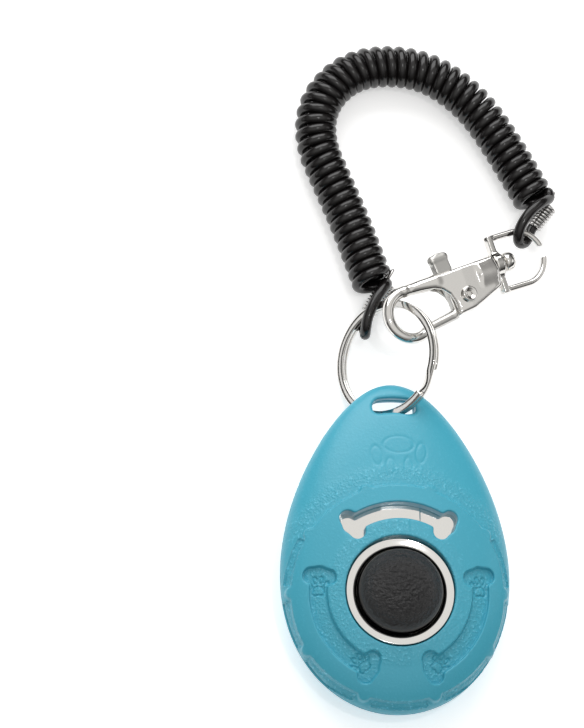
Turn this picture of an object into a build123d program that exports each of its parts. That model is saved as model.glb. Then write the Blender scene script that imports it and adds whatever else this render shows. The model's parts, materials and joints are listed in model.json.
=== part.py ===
from build123d import *
import os
from math import cos, pi, radians, sin, sqrt, tan

# Clicker trainer on a coil wrist strap. Millimetres. The button's axis is Z, its foot is the
# origin, the key-ring tip points along +Y, and the back rests on the plane Z = 0.

# ---- housing ----
EGG_BOTTOM = -22.8
EGG_LENGTH = 65.2
EGG_SHAPE = (22.08, -4.62, -1.19)  # half width = sqrt(1 - s^2) * (a + b s + c s^2), s from -1 to 1
FLATNESS = 0.345  # thickness over width of the pebble
HALF_THICKNESS = 7.8
ABOVE = 30.0  # more than the housing's height, for cutters
SHELL_MID_HEIGHT = 7.3
SHELL_RISE = 2.6  # degrees by which the tip stands above the wide end
CEILING = 12.5  # flat inside of the front shell, where the plate lies
CAVITY_TOP = ((0, 12.5), (12.6, 12.5), (17.0, 10.2), (19.4, 7.0), (19.4, 5.5))  # radius, height
CAVITY_BOTTOM = ((0, 2.0), (12.6, 2.0), (17.0, 4.4), (19.4, 7.6), (19.4, 9.5))
RIM_HEIGHT = 0.6  # raised pattern on the front
RIM_RADIUS = 20.0
RIM_TOOTH = 0.8
RIM_TEETH = (17.5, 56.0, 89.0, 121.0, 160.5)  # degrees from +Y, on each side
BUTTON_HOLE_RADIUS = 10.75
BONE_RADIUS = 15.85  # middle of the three bone shapes, round the button
BONE_WIDTH = 3.6
BONE_KNOB = 1.85
KNOB_SHIFT = 1.25
KNOB_TURN = 1.0  # degrees by which the knobs sit inside the bone's ends
BONE_DEPTH = 0.6
SLOT_HALF_ANGLE = 36.0
SIDE_BONE_ANGLES = (78.0, 158.0)
KEY_HOLE_CENTRE = (0.2, 37.35)
KEY_HOLE_SIZE = (9.2, 3.7)
KEY_HOLE_CORNER = 1.2
NECK_MIDDLE = 18.0  # the cavity's narrow end, towards the tip
NECK_SIZE = (13.0, 11.0)
NECK_HEIGHT = 3.6
BACK_FLOOR = 4.2
BACK_BOSS_TOP = 6.2
FIT = 0.02
BOSS_GAP = 0.6

# ---- click plate and button ----
PLATE_THICKNESS = 0.35
PLATE_TOP = CEILING - 0.05
PLATE_RADIUS = 12.2
PLATE_REACH = 18.4
PLATE_HALF_WIDTH = 12.0
PLATE_CORNER = 3.5
DOME = ((9.6, 0.0), (8.9, 1.0), (8.2, 0.7), (5.0, 1.0), (1.8, 1.15))  # radius, rise of the snap dome
SUPPORT_RADII = (10.6, 11.6)
SUPPORT_PEG = (8.0, 15.4)
SUPPORT_PEG_RADIUS = 1.2
CAP_RADIUS = 8.25
CAP_BASE = 13.55
CAP_TOP = 19.7
STEM_RADIUS = 1.6
STEM_HEAD = (6.4, 14.2, 15.4)  # radius, underside, top
CLIP_HEIGHT = 13.1
CLIP_THICKNESS = 0.4

# ---- screws ----
SCREW_PLACES = ((0.0, -17.0), (-10.0, 23.0), (10.0, 23.0))
SCREW_RADIUS = 0.8
SCREW_HEAD = (1.5, 0.9)
SCREW_FLOOR = 4.6
SCREW_TOP = 10.5
BOSS_RADIUS = 2.2

# ---- split ring ----
RING_TILT = 44.0
RING_CENTRE = Vector(-0.4, 47.6, 8.95)
RING_RADIUS = 11.1  # to the middle of the wire
RING_WIRE = (1.5, 0.88)  # across and along the ring's axis, for each of two turns
RING_WAY = 1.45  # radius kept clear of the housing round the ring's wire

# ---- clasp, in its own plane: X runs from the nose to the D-ring, the rivet is the origin ----
CLASP_HEADING = 21.0
CLASP_SLOPE = 15.0
CLASP_ROLL = 8.0
CLASP_CENTRE = Vector(15.09, 60.5, 9.5)
HOOK_CENTRE = (-12.85, -0.4)
HOOK_RADIUS = 4.7
HOOK_WIRE = 2.3
HOOK_TURN = (88, 209)  # where the nose's arc starts, and how far it goes round
HOOK_LIMB_END = (-5.0, 4.1)
BODY_HALF = 2.6  # half thickness of the hook's body
BODY_END = 7.9
BODY_OUTLINE = ((-3.6, -3.6), (BODY_END, -0.4), (BODY_END, 6.1), (-8.8, 5.3), (-8.8, 3.1), (-5.9, 2.7))
BODY_THROAT = (-3.3, 0.2)
BODY_POCKET = ((-5.2, 9), (5.3, 9), (5.3, 0.9), (2.5, -1.3), (-0.6, -4), (-9, -6), (-9, 2.2), (-5.2, 2.2))
SWIVEL_OFFSET = 4.1  # the swivel's axis above the rivet, in the clasp's plane
LEVER_HALF = 0.9
LEVER_BAR = ((-3.7, -1.95), (-9.6, -2.9), (-9.6, -4.9), (-3.5, -4.0))
LEVER_TAB = ((-1.0, 4.7), (-1.4, 9.1), (-5.0, 9.1), (-4.7, 4.8))
LEVER_HUB = 2.1
TAB_ROUND = 1.5
SPRING_SIDE = (1.0, 1.85)
SPRING_RADII = (1.2, 1.75)
SPRING_FEET = (((1.4, -0.6), (4.6, 0.9)), ((-1.3, 0.7), (-2.9, -1.4)))
SPRING_WIRE = 0.4
RIVET_RADIUS = 1.0
RIVET_HEAD = (1.65, 0.35)
POST_RADIUS = 1.15
POST_HEAD = (10.6, 1.95, 13.2)  # start along the clasp, radius, end
POST_ROOT = 5.8
BAR = (8.15, 10.1)  # the D-ring's straight side, along the clasp
BAR_THICKNESS = 1.9
BOW_WIRE = 1.3
BOW_HALF = 5.3
BOW_CENTRE = 14.7

# ---- coil cord ----
CORD = 2.1
COIL = 8.3
COIL_ROUTE = (
    (-2.9, 65.9, 4.9),
    (-5.8, 75.3, 4.4),
    (-9.6, 84.6, 4.3),
    (-13.3, 93.6, 4.3),
    (-11.9, 102.4, 4.3),
    (-4.3, 109.1, 4.3),
    (7.9, 109.3, 4.3),
    (17.0, 103.9, 4.3),
    (23.7, 95.3, 4.3),
    (29.9, 83.2, 4.9),
)
LOOP_RADIUS = 2.75
LOOP_REACH = 3.9  # from the middle of the wire to the end of the loop
SLEEVE_RADII = (1.12, 1.5)
# Each end loop: where it leaves the coil, its bend, the wire it goes round, the way it points, the
# way from its outgoing to its returning side, and how far the sleeve reaches.
RING_LOOP = {
    "start": ((-2.9, 65.9, 7.95), (-2.2, 63.6, 7.8)),
    "wire": (-4.0, 57.5, 5.45),
    "down": (-0.34, -0.94, 0),
    "across": (0.45, -0.16, -0.88),
    "return": 7.5,
}
CLASP_LOOP = {
    "start": ((32.1, 84.3, 6.6), (34.1, 82.4, 7.1)),
    "wire": (26.85, 74.7, 6.6),
    "down": (-0.66, -0.75, 0),
    "across": (0.19, -0.165, -0.97),
    "return": 9.0,
}

os.makedirs("parts", exist_ok=True)


def half_width(s):
    """Half width of the egg, s running from -1 at its wide end to 1 at its tip."""
    a, b, c = EGG_SHAPE
    return sqrt(1 - s * s) * (a + b * s + c * s * s)


def egg(scales):
    """The pebble, centred on its own middle plane, with each direction scaled."""
    stations = [-cos(radians(15 * i)) for i in range(1, 12)]
    middle = EGG_BOTTOM + EGG_LENGTH / 2
    side = [(half_width(s), middle + s * EGG_LENGTH / 2) for s in stations]
    bottom, tip = (0, EGG_BOTTOM), (0, EGG_BOTTOM + EGG_LENGTH)
    with BuildPart() as body:
        with BuildSketch(Plane.XY):
            with BuildLine():
                Spline(bottom, *side, tip, tangents=((1, 0), (-1, 0)))
                Line(tip, bottom)
            make_face()
        revolve(axis=Axis.Y)
        scale(by=(scales[0], scales[1], scales[2] * FLATNESS))
    return shell_plane.location * body.part


def at_angle(radius, angle):
    """A point round the button, the angle in degrees from +Y towards -X."""
    return (-radius * sin(radians(angle)), radius * cos(radians(angle)))


def bone(first, last):
    """A bent bone round the button, from one angle to another."""
    inner, outer = BONE_RADIUS - BONE_WIDTH / 2, BONE_RADIUS + BONE_WIDTH / 2
    knobs = [
        at_angle(BONE_RADIUS + shift, angle)
        for angle in (first + KNOB_TURN, last - KNOB_TURN)
        for shift in (-KNOB_SHIFT, KNOB_SHIFT)
    ]
    with BuildSketch() as shape:
        with BuildLine():
            CenterArc((0, 0), outer, 90 + first, last - first)
            Line(at_angle(outer, last), at_angle(inner, last))
            CenterArc((0, 0), inner, 90 + last, first - last)
            Line(at_angle(inner, first), at_angle(outer, first))
        make_face()
        with Locations(*knobs):
            Circle(BONE_KNOB)
    return shape.sketch


def rim_outline():
    """The edge of the raised pattern: a round with five small teeth on each side."""
    Circle(RIM_RADIUS)
    for angle in RIM_TEETH:
        for side in (angle, -angle):
            with Locations(at_angle(RIM_RADIUS, side)):
                Circle(RIM_TOOTH)


def arc_radii(points):
    """The largest smooth arc at each corner of a route: 0.45 of its shorter run over tan(half turn)."""
    runs = [Vector(b) - Vector(a) for a, b in zip(points, points[1:])]
    return [
        0.45 * min(a.length, b.length) / tan(radians(a.get_angle(b) / 2))
        for a, b in zip(runs, runs[1:])
    ]


def tube(points, diameter):
    """A round tube along a route of straight runs joined by tangent arcs."""
    with BuildPart() as part:
        with BuildLine() as route:
            FilletPolyline(*points, radius=arc_radii(points))
        path = route.wires()[0]
        with BuildSketch(Plane(path @ 0, z_dir=path % 0)):
            Circle(diameter / 2)
        sweep(path=path)
    radii = ", ".join(f"{radius:.1f}" for radius in arc_radii(points))
    share = part.part.volume / (path.length * pi * diameter**2 / 4)
    print(f"tube of {diameter} mm: length {path.length:.1f}, radii {radii}, volume share {share:.4f}")
    return part.part


def loop_points(loop):
    """A cord's end loop: off the coil, over the wire, round it, and back inside its sleeve."""
    wire, down, across = (Vector(loop[key]) for key in ("wire", "down", "across"))
    down, across = down.normalized(), across.normalized() * LOOP_RADIUS
    end = wire + down * LOOP_REACH
    return [*loop["start"], end - across, end + across, wire + across - down * loop["return"]]


def sleeve(loop):
    """The spring sleeve round the returning side of an end loop."""
    turn, end = (Vector(point) for point in loop_points(loop)[-2:])
    way = (end - turn).normalized()
    start = turn + way * (LOOP_REACH + 0.6)
    with BuildPart() as part:
        with BuildSketch(Plane(start, z_dir=way)):
            Circle(SLEEVE_RADII[1])
            Circle(SLEEVE_RADII[0], mode=Mode.SUBTRACT)
        extrude(amount=(end - start).length)
    return part.part


shell_plane = Plane(
    origin=(0, 0, SHELL_MID_HEIGHT),
    x_dir=(1, 0, 0),
    z_dir=(0, -sin(radians(SHELL_RISE)), cos(radians(SHELL_RISE))),
)

tilt, heading, slope = radians(RING_TILT), radians(CLASP_HEADING), radians(CLASP_SLOPE)
ring_plane = Plane(RING_CENTRE, x_dir=(cos(tilt), 0, sin(tilt)), z_dir=(-sin(tilt), 0, cos(tilt)))
ring_section = Plane(RING_CENTRE, x_dir=ring_plane.x_dir, z_dir=(0, -1, 0))
along_clasp = Vector(cos(heading) * cos(slope), sin(heading) * cos(slope), -sin(slope))
level_normal = along_clasp.cross(Vector(-sin(heading), cos(heading), 0))
clasp_normal = level_normal.rotate(Axis((0, 0, 0), along_clasp), CLASP_ROLL)
clasp_plane = Plane(CLASP_CENTRE, x_dir=along_clasp, z_dir=clasp_normal)
swivel_centre = CLASP_CENTRE + clasp_plane.y_dir * SWIVEL_OFFSET
swivel_plane = Plane(swivel_centre, x_dir=clasp_plane.y_dir, z_dir=along_clasp)

with BuildPart() as rim:
    add(egg((1, 1, 1 + RIM_HEIGHT / HALF_THICKNESS)))
    with BuildSketch(Plane.XY):
        rim_outline()
    extrude(amount=ABOVE, mode=Mode.INTERSECT)

with BuildPart() as recess:
    with BuildSketch(Plane.XY.offset(SHELL_MID_HEIGHT)):
        add(bone(*SIDE_BONE_ANGLES))
        mirror(about=Plane.YZ)
    extrude(amount=ABOVE)
    add(egg((1, 1, 1 - BONE_DEPTH / HALF_THICKNESS)), mode=Mode.SUBTRACT)

with BuildPart() as key_hole:
    with BuildSketch(Plane.XY.offset(-ABOVE)):
        with Locations(KEY_HOLE_CENTRE):
            RectangleRounded(*KEY_HOLE_SIZE, KEY_HOLE_CORNER)
    extrude(amount=2 * ABOVE)
    with BuildSketch(ring_section):
        with Locations((RING_RADIUS, 0)):
            Circle(RING_WAY)
    revolve(axis=Axis(RING_CENTRE, ring_plane.z_dir))

# Everything taken out of the front shell: the space inside, less the screw bosses, and the openings.
with BuildPart() as front_hollow:
    with BuildSketch(Plane.XZ):
        with BuildLine():
            Polyline(*CAVITY_TOP, (0, CAVITY_TOP[-1][1]), close=True)
        make_face()
    revolve(axis=Axis.Z)
    with BuildSketch(Plane.XY.offset(SHELL_MID_HEIGHT)):
        with Locations((0, PLATE_REACH / 2)):
            RectangleRounded(2 * PLATE_HALF_WIDTH + 0.4, PLATE_REACH + 0.4, PLATE_CORNER)
    extrude(amount=CEILING - SHELL_MID_HEIGHT)
    with BuildSketch(Plane.XY.offset(SHELL_MID_HEIGHT)):
        with Locations((0, NECK_MIDDLE)):
            Ellipse(*NECK_SIZE)
    extrude(amount=NECK_HEIGHT)
    with BuildSketch(Plane.XY.offset(SHELL_MID_HEIGHT + BOSS_GAP)):
        with Locations(*SCREW_PLACES):
            Circle(BOSS_RADIUS)
    extrude(amount=ABOVE, mode=Mode.SUBTRACT)
    with BuildSketch(Plane.XY.offset(SHELL_MID_HEIGHT)):
        with Locations(*SCREW_PLACES):
            Circle(SCREW_RADIUS + FIT)
    extrude(amount=SCREW_TOP + 0.3 - SHELL_MID_HEIGHT)
    with BuildSketch(Plane.XY.offset(CEILING - 1)):
        Circle(BUTTON_HOLE_RADIUS)
        add(bone(-SLOT_HALF_ANGLE, SLOT_HALF_ANGLE))
    extrude(amount=ABOVE)
    add(recess.part)

with BuildPart() as front_shell:
    add(egg((1, 1, 1)))
    add(rim.part)
    split(bisect_by=shell_plane, keep=Keep.TOP)
    add(front_hollow.part, mode=Mode.SUBTRACT)
    add(key_hole.part, mode=Mode.SUBTRACT)

# Everything taken out of the back cover: the space inside, less its bosses, and the screws' ways.
with BuildPart() as back_hollow:
    with BuildSketch(Plane.XZ):
        with BuildLine():
            Polyline(*CAVITY_BOTTOM, (0, CAVITY_BOTTOM[-1][1]), close=True)
        make_face()
    revolve(axis=Axis.Z)
    with BuildSketch(Plane.XY.offset(BACK_FLOOR)):
        with Locations((0, NECK_MIDDLE)):
            Ellipse(*NECK_SIZE)
    extrude(amount=CAVITY_BOTTOM[-1][1] - BACK_FLOOR)
    with BuildSketch(Plane.XY):
        with Locations(*SCREW_PLACES):
            Circle(BOSS_RADIUS)
    extrude(amount=BACK_BOSS_TOP, mode=Mode.SUBTRACT)
    with BuildSketch(Plane.XY.offset(-1)):
        with Locations(*SCREW_PLACES):
            Circle(SCREW_RADIUS + 0.15)
    extrude(amount=BACK_BOSS_TOP + 1.5)
    with BuildSketch(Plane.XY.offset(-1)):
        with Locations(*SCREW_PLACES):
            Circle(SCREW_HEAD[0] + 0.2)
    extrude(amount=SCREW_FLOOR + 1)

with BuildPart() as back_cover:
    add(egg((1, 1, 1)))
    split(bisect_by=shell_plane, keep=Keep.BOTTOM)
    split(bisect_by=Plane.XY, keep=Keep.TOP)
    add(back_hollow.part, mode=Mode.SUBTRACT)
    add(key_hole.part, mode=Mode.SUBTRACT)
    with BuildSketch(Plane.XY.offset(CAVITY_BOTTOM[0][1] - 0.5)):
        Circle(SUPPORT_RADII[1])
        Circle(SUPPORT_RADII[0], mode=Mode.SUBTRACT)
        with Locations((-SUPPORT_PEG[0], SUPPORT_PEG[1]), SUPPORT_PEG):
            Circle(SUPPORT_PEG_RADIUS)
    extrude(amount=PLATE_TOP - PLATE_THICKNESS - 0.05 - CAVITY_BOTTOM[0][1] + 0.5)

with BuildPart() as cover_screws:
    with BuildSketch(Plane.XY.offset(SCREW_FLOOR - SCREW_HEAD[1])):
        with Locations(*SCREW_PLACES):
            Circle(SCREW_HEAD[0])
    extrude(amount=SCREW_HEAD[1])
    with BuildSketch(Plane.XY.offset(SCREW_FLOOR)):
        with Locations(*SCREW_PLACES):
            Circle(SCREW_RADIUS)
    extrude(amount=SCREW_TOP - SCREW_FLOOR)
    with BuildSketch(Plane.XY.offset(SCREW_FLOOR - SCREW_HEAD[1])):
        with Locations(*SCREW_PLACES):
            Rectangle(2.0, 0.4)
            Rectangle(0.4, 2.0)
    extrude(amount=0.5, mode=Mode.SUBTRACT)

with BuildPart() as click_plate:
    with BuildSketch(Plane.XY.offset(PLATE_TOP - PLATE_THICKNESS)):
        Circle(PLATE_RADIUS)
        with Locations((0, PLATE_REACH / 2)):
            RectangleRounded(2 * PLATE_HALF_WIDTH, PLATE_REACH, PLATE_CORNER)
        Circle(DOME[0][0] - 0.1, mode=Mode.SUBTRACT)
    extrude(amount=PLATE_THICKNESS)
    with BuildSketch(Plane.XZ):
        with BuildLine():
            upper = [(radius, PLATE_TOP + height) for radius, height in DOME]
            lower = [(radius, height - PLATE_THICKNESS) for radius, height in upper]
            Polyline(*upper, *reversed(lower), close=True)
        make_face()
    revolve(axis=Axis.Z)

with BuildPart() as button_cap:
    with BuildSketch(Plane.XZ):
        with BuildLine():
            Line((0, CAP_BASE + 0.2), (CAP_RADIUS - 0.6, CAP_BASE + 0.2))
            Line((CAP_RADIUS - 0.6, CAP_BASE + 0.2), (CAP_RADIUS - 0.4, CAP_BASE))
            Spline(
                (CAP_RADIUS - 0.4, CAP_BASE),
                (CAP_RADIUS, CAP_BASE + 1.6),
                (CAP_RADIUS - 1.9, CAP_TOP - 1.3),
                (0, CAP_TOP),
                tangents=((0.2, 1), (-1, 0)),
            )
            Line((0, CAP_TOP), (0, CAP_BASE + 0.2))
        make_face()
    revolve(axis=Axis.Z)
    with BuildSketch(Plane.XY.offset(STEM_HEAD[1])):
        Circle(STEM_HEAD[0] + 0.05)
    extrude(amount=STEM_HEAD[2] - STEM_HEAD[1] + 0.05, mode=Mode.SUBTRACT)
    with BuildSketch(Plane.XY.offset(CAP_BASE)):
        Circle(STEM_RADIUS + 0.05)
    extrude(amount=2, mode=Mode.SUBTRACT)

with BuildPart() as button_stem:
    with BuildSketch(Plane.XY.offset(STEM_HEAD[1] + 0.05)):
        Circle(STEM_HEAD[0])
    extrude(amount=STEM_HEAD[2] - STEM_HEAD[1] - 0.05)
    with BuildSketch(Plane.XY.offset(CLIP_HEIGHT - 0.9)):
        Circle(STEM_RADIUS)
    extrude(amount=STEM_HEAD[1] + 0.1 - CLIP_HEIGHT + 0.9)
    with BuildSketch(Plane.XY.offset(CLIP_HEIGHT - CLIP_THICKNESS)):
        Circle(STEM_RADIUS)
        Circle(STEM_RADIUS - 0.3, mode=Mode.SUBTRACT)
    extrude(amount=CLIP_THICKNESS, mode=Mode.SUBTRACT)

with BuildPart() as stem_clip:
    with BuildSketch(Plane.XY.offset(CLIP_HEIGHT - CLIP_THICKNESS + 0.03)):
        Circle(3.2)
        Circle(STEM_RADIUS - 0.28, mode=Mode.SUBTRACT)
        with Locations((0, -2.4)):
            Rectangle(1.6, 3, mode=Mode.SUBTRACT)
    extrude(amount=CLIP_THICKNESS - 0.06)

# The split ring: two flat turns of wire side by side, closed into one section.
with BuildPart() as split_ring:
    with BuildSketch(ring_section):
        with GridLocations(1, RING_WIRE[1] - 0.06, 1, 2):
            with Locations((RING_RADIUS, 0)):
                RectangleRounded(*RING_WIRE, 0.28)
    revolve(axis=Axis(RING_CENTRE, ring_plane.z_dir))

# The clasp's hook: a round-edged nose on a flat hollow body.
with BuildPart() as hook_body:
    with BuildSketch(clasp_plane.offset(-HOOK_WIRE / 2)):
        with BuildLine():
            nose = CenterArc(HOOK_CENTRE, HOOK_RADIUS, *HOOK_TURN)
            Line(HOOK_LIMB_END, nose @ 0)
        trace(line_width=HOOK_WIRE)
    extrude(amount=HOOK_WIRE)
    fillet(hook_body.edges().filter_by(clasp_plane), HOOK_WIRE * 0.4)
    with BuildSketch(clasp_plane.offset(-BODY_HALF)):
        with BuildLine():
            Polyline(*BODY_OUTLINE)
            ThreePointArc(BODY_OUTLINE[-1], BODY_THROAT, BODY_OUTLINE[0])
        make_face()
    extrude(amount=2 * BODY_HALF)
    with BuildSketch(clasp_plane.offset(-LEVER_HALF - 0.1)):
        with BuildLine():
            Polyline(*BODY_POCKET, close=True)
        make_face()
    extrude(amount=LEVER_HALF + 0.2 + SPRING_SIDE[1], mode=Mode.SUBTRACT)
    with BuildSketch(clasp_plane.offset(-BODY_HALF)):
        Circle(RIVET_RADIUS + FIT)
    extrude(amount=2 * BODY_HALF, mode=Mode.SUBTRACT)
    with BuildSketch(swivel_plane.offset(POST_ROOT)):
        Circle(POST_RADIUS)
    extrude(amount=BODY_END, mode=Mode.SUBTRACT)

with BuildPart() as gate_lever:
    with BuildSketch(clasp_plane.offset(-LEVER_HALF)) as gate_lever_sketch:
        with BuildLine():
            Polyline(*LEVER_BAR, (0, -LEVER_HUB), (LEVER_HUB, 0), *LEVER_TAB, close=True)
        make_face()
        fillet(gate_lever_sketch.vertices().group_by(Axis.Y)[-1], TAB_ROUND)
        Circle(LEVER_HUB)
        Circle(RIVET_RADIUS + 0.05, mode=Mode.SUBTRACT)
    extrude(amount=2 * LEVER_HALF)

with BuildPart() as gate_rivet:
    with BuildSketch(clasp_plane.offset(-BODY_HALF - RIVET_HEAD[1])):
        Circle(RIVET_RADIUS)
    extrude(amount=2 * (BODY_HALF + RIVET_HEAD[1]))
    for level in (-BODY_HALF - RIVET_HEAD[1], BODY_HALF):
        with BuildSketch(clasp_plane.offset(level)):
            Circle(RIVET_HEAD[0])
        extrude(amount=RIVET_HEAD[1])
    with BuildSketch(clasp_plane.offset(-ABOVE / 2)):
        Circle(RIVET_RADIUS / 2)
    extrude(amount=ABOVE, mode=Mode.SUBTRACT)

with BuildPart() as gate_spring:
    with BuildSketch(clasp_plane.offset(SPRING_SIDE[0])):
        Circle(SPRING_RADII[1])
        Circle(SPRING_RADII[0], mode=Mode.SUBTRACT)
        for foot in SPRING_FEET:
            with BuildLine():
                Polyline(*foot)
            trace(line_width=SPRING_WIRE)
    extrude(amount=SPRING_SIDE[1] - SPRING_SIDE[0] - 0.05)

with BuildPart() as swivel_post:
    with BuildSketch(swivel_plane.offset(POST_ROOT)):
        Circle(POST_RADIUS)
    extrude(amount=POST_HEAD[0] - POST_ROOT)
    with BuildSketch(swivel_plane.offset(POST_HEAD[0])):
        Circle(POST_HEAD[1])
    extrude(amount=POST_HEAD[2] - POST_HEAD[0])
    fillet(swivel_post.edges().group_by(Axis(CLASP_CENTRE, clasp_plane.x_dir))[-1], 0.9)

with BuildPart() as d_ring:
    with BuildLine(clasp_plane) as bow:
        top = (BOW_CENTRE, SWIVEL_OFFSET + BOW_HALF)
        low = (BOW_CENTRE, SWIVEL_OFFSET - BOW_HALF)
        Line((BAR[0] + BOW_WIRE / 2, top[1]), top)
        ThreePointArc(top, (BOW_CENTRE + BOW_HALF, SWIVEL_OFFSET), low)
        Line(low, (BAR[0] + BOW_WIRE / 2, low[1]))
    with BuildSketch(Plane(bow.line @ 0, z_dir=bow.line % 0)):
        Circle(BOW_WIRE / 2)
    sweep(path=bow.line)
    with BuildSketch(swivel_plane.offset(BAR[0])):
        RectangleRounded(2 * BOW_HALF + BOW_WIRE, BAR_THICKNESS, 0.5)
        Circle(POST_RADIUS + 0.85)
        Circle(POST_RADIUS + 0.06, mode=Mode.SUBTRACT)
    extrude(amount=BAR[1] - BAR[0])

pieces = {
    "front_shell": front_shell.part,
    "back_cover": back_cover.part,
    "cover_screws": cover_screws.part,
    "click_plate": click_plate.part,
    "button_cap": button_cap.part,
    "button_stem": button_stem.part,
    "stem_clip": stem_clip.part,
    "split_ring": split_ring.part,
    "hook_body": hook_body.part,
    "gate_lever": gate_lever.part,
    "gate_rivet": gate_rivet.part,
    "gate_spring": gate_spring.part,
    "swivel_post": swivel_post.part,
    "d_ring": d_ring.part,
    "coil_cord": tube(COIL_ROUTE, COIL),
    "ring_end_loop": tube(loop_points(RING_LOOP), CORD),
    "clasp_end_loop": tube(loop_points(CLASP_LOOP), CORD),
    "ring_end_sleeve": sleeve(RING_LOOP),
    "clasp_end_sleeve": sleeve(CLASP_LOOP),
}
for name, piece in pieces.items():
    piece.label = name
    export_step(piece, f"parts/{name}.step")
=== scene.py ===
import json
from math import cos, pi, radians, sin, tan

import bpy
import numpy as np
from mathutils import Matrix, Vector


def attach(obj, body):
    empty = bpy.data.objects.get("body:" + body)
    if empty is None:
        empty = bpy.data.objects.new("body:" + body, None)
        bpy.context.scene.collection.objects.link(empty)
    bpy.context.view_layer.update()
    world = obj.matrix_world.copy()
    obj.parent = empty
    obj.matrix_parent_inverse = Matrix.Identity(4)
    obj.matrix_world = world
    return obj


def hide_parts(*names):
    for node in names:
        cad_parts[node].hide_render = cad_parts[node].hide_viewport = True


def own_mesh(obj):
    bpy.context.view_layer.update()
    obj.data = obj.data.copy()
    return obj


# Clicker trainer on a coil wrist strap. Shapes are worked out in millimetres and built in metres.
MM = 0.001

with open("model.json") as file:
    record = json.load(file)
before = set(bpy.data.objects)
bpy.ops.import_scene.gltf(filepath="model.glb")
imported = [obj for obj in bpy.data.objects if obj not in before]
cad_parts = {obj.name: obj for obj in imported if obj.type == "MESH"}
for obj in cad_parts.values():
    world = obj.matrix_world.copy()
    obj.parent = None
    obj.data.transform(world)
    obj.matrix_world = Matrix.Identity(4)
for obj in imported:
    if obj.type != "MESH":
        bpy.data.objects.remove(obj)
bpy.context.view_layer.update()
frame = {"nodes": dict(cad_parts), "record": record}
record = frame["record"]
joints = {joint["name"]: joint for joint in record["behaviour"]["joints"]}


# ---------------------------------------------------------------- camera and light

# The camera looks down from 8 degrees to the left and 15 below, slightly rolled.
VIEW_BACK = Vector((-tan(radians(8)), -tan(radians(15)), 1)).normalized()
VIEW_ROLL = radians(1.4)
VIEW_CENTRE = (-17.9, 47.88)  # the picture's middle, to the right and up in the view's plane
VIEW_HEIGHT = 142.0  # what the picture's height takes in
LENS, SENSOR = 200.0, 24.0


def build_camera():
    right = Vector((0, 1, 0)).cross(VIEW_BACK).normalized()
    up = VIEW_BACK.cross(right)
    middle = (right * VIEW_CENTRE[0] + up * VIEW_CENTRE[1]) * MM
    turned_right = right * cos(VIEW_ROLL) - up * sin(VIEW_ROLL)
    turned_up = right * sin(VIEW_ROLL) + up * cos(VIEW_ROLL)
    distance = VIEW_HEIGHT * MM * LENS / SENSOR
    data = bpy.data.cameras.new("camera")
    data.sensor_fit = "VERTICAL"
    data.sensor_height = SENSOR
    data.lens = LENS
    data.clip_start, data.clip_end = 0.05, 20
    camera = bpy.data.objects.new("camera", data)
    turn = Matrix((turned_right, turned_up, VIEW_BACK)).transposed().to_4x4()
    camera.matrix_world = Matrix.Translation(middle + VIEW_BACK * distance) @ turn
    bpy.context.collection.objects.link(camera)
    bpy.context.scene.camera = camera


WORLD_STRENGTH = 0.85
SKY_STOPS = ((0.5, 0.03), (0.60, 0.05), (0.72, 0.25), (0.84, 0.5), (0.91, 1.0))  # height, level
LIGHT_TARGET = (0.005, 0.045, 0)
LAMPS = (  # name, place, size, watts
    ("key", (-0.08, 0.66, 0.44), (0.8, 0.6), 4.6),
    ("fill", (0.60, 0.10, 0.30), (0.30, 0.2), 0.18),
    ("side", (-0.62, 0.10, 0.13), (0.5, 0.11), 0.16),
    ("spark", (0.08, 0.0, 0.9), (0.03, 0.03), 0.7),
)
FLOOR_REACH, FLOOR_DROP, FLOOR_GLOW = 0.22, 0.00005, 0.42


def area_light(name, place, size, power):
    data = bpy.data.lights.new(name, "AREA")
    data.shape = "RECTANGLE"
    data.size, data.size_y = size
    data.energy = power
    lamp = bpy.data.objects.new(name, data)
    way = Vector(LIGHT_TARGET) - Vector(place)
    lamp.matrix_world = Matrix.Translation(place) @ way.to_track_quat("-Z", "Y").to_matrix().to_4x4()
    bpy.context.collection.objects.link(lamp)


def build_world():
    """A studio that is dark at the sides and bright overhead."""
    world = bpy.data.worlds.new("studio")
    world.use_nodes = True
    nodes, links = world.node_tree.nodes, world.node_tree.links
    coordinates = nodes.new("ShaderNodeTexCoord")
    split = nodes.new("ShaderNodeSeparateXYZ")
    ramp = nodes.new("ShaderNodeValToRGB")
    shift = nodes.new("ShaderNodeMapRange")
    shift.inputs["From Min"].default_value = -1
    links.new(coordinates.outputs["Generated"], split.inputs[0])
    links.new(split.outputs["Z"], shift.inputs["Value"])
    links.new(shift.outputs["Result"], ramp.inputs["Fac"])
    stops = ramp.color_ramp.elements
    stops[0].position, stops[0].color = 0.0, (0.03, 0.03, 0.03, 1)
    stops[1].position, stops[1].color = 1.0, (1.0, 0.99, 0.97, 1)
    for place, level in SKY_STOPS:
        stops.new(place).color = (level, level * 0.99, level * 0.97, 1)
    links.new(ramp.outputs["Color"], nodes["Background"].inputs["Color"])
    nodes["Background"].inputs["Strength"].default_value = WORLD_STRENGTH
    bpy.context.scene.world = world


def build_light():
    build_world()
    for name, place, size, power in LAMPS:
        area_light(name, place, size, power)


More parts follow.
